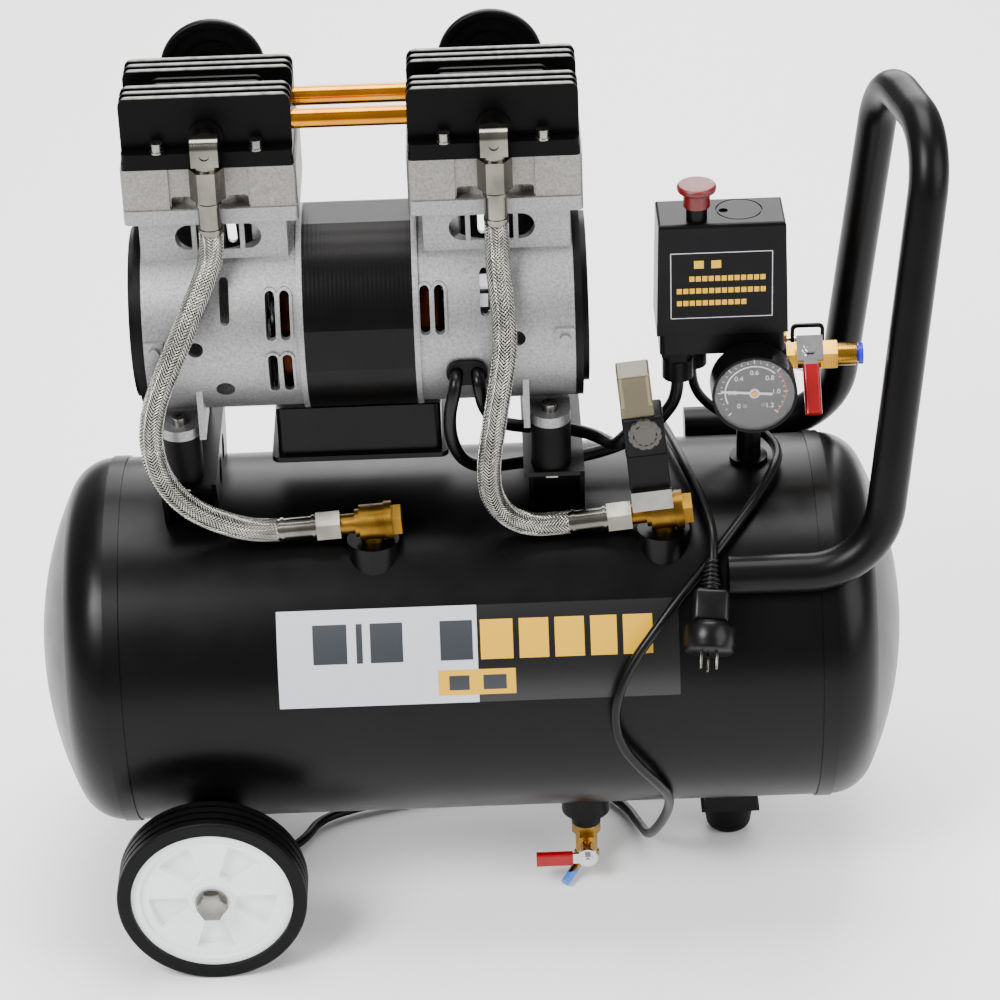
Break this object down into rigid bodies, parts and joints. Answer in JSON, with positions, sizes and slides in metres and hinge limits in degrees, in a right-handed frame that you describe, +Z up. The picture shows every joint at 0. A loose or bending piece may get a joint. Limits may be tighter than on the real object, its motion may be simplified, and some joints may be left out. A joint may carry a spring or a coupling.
{
  "type": "air compressor",
  "caption": "Portable oil-free air compressor: a horizontal tank on wheels and a foot carries a twin-cylinder motor, pressure switch, gauge and valves, with a bent tube handle.",
  "frame": {"origin": "floor level, under the middle of the footprint of the object without its free mains lead and plug", "axes": "+X along the tank from the wheels to the handle and outlet, +Y to the back (silencer side), +Z up"},
  "size_m": [0.5944, 0.326, 0.5923],
  "materials": {
    "black_coat": "satin powder coat",
    "black_rubber": "matte",
    "zinc": "zinc plated",
    "white_plastic": "moulded",
    "tyre": "matte",
    "black_core": "satin paint",
    "copper": "enamelled wire",
    "shaft_steel": "machined",
    "black_plastic": "moulded",
    "cast_aluminium": "sand blasted casting",
    "black_cast": "painted casting",
    "brass": "turned",
    "nickel": "nickel plated",
    "braid": "woven wire",
    "smoke_plastic": "translucent grey",
    "chrome": "polished",
    "dial_black": "printed",
    "clear": "clear",
    "red_plastic": "moulded",
    "red_vinyl": "dipped vinyl",
    "blue_plastic": "moulded",
    "black_cable": "satin jacket"
  },
  "bodies": {
    "frame": {"axle_bolts": "zinc", "base_brackets": "black_coat", "cable_glands": "black_plastic", "cable_tie": "black_plastic", "capacitor_box": "black_core", "check_valves": "brass", "cylinder_blocks": "cast_aluminium", "cylinder_heads": "black_cast", "drain_valve": "brass", "end_covers": "black_core", "gauge_case": "black_core", "gauge_dial": "dial_black", "gauge_lens": "clear", "handle": "black_coat", "hose_fittings": "nickel", "hose_left": "braid", "hose_right": "braid", "intake_silencers": "black_plastic", "mains_lead": "black_cable", "mains_plug": "black_cable", "manifold": "black_core", "motor_housings": "cast_aluminium", "motor_leads": "black_cable", "motor_saddles": "black_coat", "outlet_elbows": "nickel", "outlet_valve": "brass", "rubber_foot": "black_rubber", "rubber_mounts": "black_rubber", "safety_valve": "brass", "shaft_bearings": "shaft_steel", "socket_screws": "zinc", "solenoid_body": "nickel", "solenoid_coil": "black_plastic", "solenoid_connector": "smoke_plastic", "stator_core": "black_core", "stator_windings": "copper", "switch_base": "black_plastic", "switch_cover": "black_plastic", "tank_bungs": "black_coat", "tank_heads": "black_coat", "tank_shell": "black_coat", "transfer_pipes": "brass", "valve_plates": "black_cast"},
    "wheel_front": {"wheel_front": "white_plastic", "tyre_front": "tyre"},
    "wheel_rear": {"wheel_rear": "white_plastic", "tyre_rear": "tyre"},
    "crank": {"crankshaft": "shaft_steel", "rotor_core": "shaft_steel", "cooling_fans": "black_plastic"},
    "conrod_left": {"conrod_left": "cast_aluminium"},
    "conrod_right": {"conrod_right": "cast_aluminium"},
    "switch_knob": {"switch_knob": "red_plastic"},
    "gauge_needle": {"gauge_needle": "white_plastic"},
    "outlet_lever": {"outlet_lever": "red_vinyl"},
    "drain_lever": {"drain_lever": "red_vinyl"},
    "safety_ring": {"safety_ring": "chrome"},
    "release_collet": {"release_collet": "blue_plastic"},
    "check_poppet_left": {"check_poppet_left": "black_rubber"},
    "check_poppet_right": {"check_poppet_right": "black_rubber"}
  },
  "joints": [
    {"name": "wheel_front_spin", "type": "hinge", "parent": "frame", "child": "wheel_front", "pos_m": [-0.18531, -0.141, 0.0625], "axis": [0, 1, 0], "continuous": true},
    {"name": "wheel_rear_spin", "type": "hinge", "parent": "frame", "child": "wheel_rear", "pos_m": [-0.18531, 0.141, 0.0625], "axis": [0, 1, 0], "continuous": true},
    {"name": "crank_spin", "type": "hinge", "parent": "frame", "child": "crank", "pos_m": [-0.07121, 0, 0.42], "axis": [1, 0, 0], "continuous": true},
    {"name": "conrod_left_swing", "type": "hinge", "parent": "crank", "child": "conrod_left", "pos_m": [-0.15971, 0, 0.428], "axis": [1, 0, 0], "continuous": true},
    {"name": "conrod_right_swing", "type": "hinge", "parent": "crank", "child": "conrod_right", "pos_m": [0.01729, 0, 0.428], "axis": [1, 0, 0], "continuous": true},
    {"name": "switch_knob_press", "type": "slide", "parent": "frame", "child": "switch_knob", "axis": [0, 0, -1], "range_m": [0, 0.006]},
    {"name": "gauge_needle_turn", "type": "hinge", "parent": "frame", "child": "gauge_needle", "pos_m": [0.17829, -0.045, 0.368], "axis": [0, 1, 0], "range_deg": [-40, 230]},
    {"name": "outlet_lever_turn", "type": "hinge", "parent": "frame", "child": "outlet_lever", "pos_m": [0.21679, 0, 0.37], "axis": [0, -0.7071, 0.7071], "range_deg": [0, 90]},
    {"name": "drain_lever_turn", "type": "hinge", "parent": "frame", "child": "drain_lever", "pos_m": [0.06429, -0.0645, 0.022], "axis": [0, 1, 0], "range_deg": [0, 90]},
    {"name": "safety_ring_pull", "type": "slide", "parent": "frame", "child": "safety_ring", "axis": [1, 0, 0], "range_m": [0, 0.003], "stiffness_N_per_m": 1500},
    {"name": "release_collet_press", "type": "slide", "parent": "frame", "child": "release_collet", "axis": [-1, 0, 0], "range_m": [0, 0.0014], "stiffness_N_per_m": 1500},
    {"name": "check_poppet_left_lift", "type": "slide", "parent": "frame", "child": "check_poppet_left", "axis": [0.9981, 0, 0.061], "range_m": [0, 0.004], "stiffness_N_per_m": 300},
    {"name": "check_poppet_right_lift", "type": "slide", "parent": "frame", "child": "check_poppet_right", "axis": [0.9954, 0, 0.0958], "range_m": [0, 0.004], "stiffness_N_per_m": 300}
  ],
  "couplings": [
    {"joint": "conrod_left_swing", "follows": "crank_spin", "ratio": -1},
    {"joint": "conrod_right_swing", "follows": "crank_spin", "ratio": -1}
  ]
}
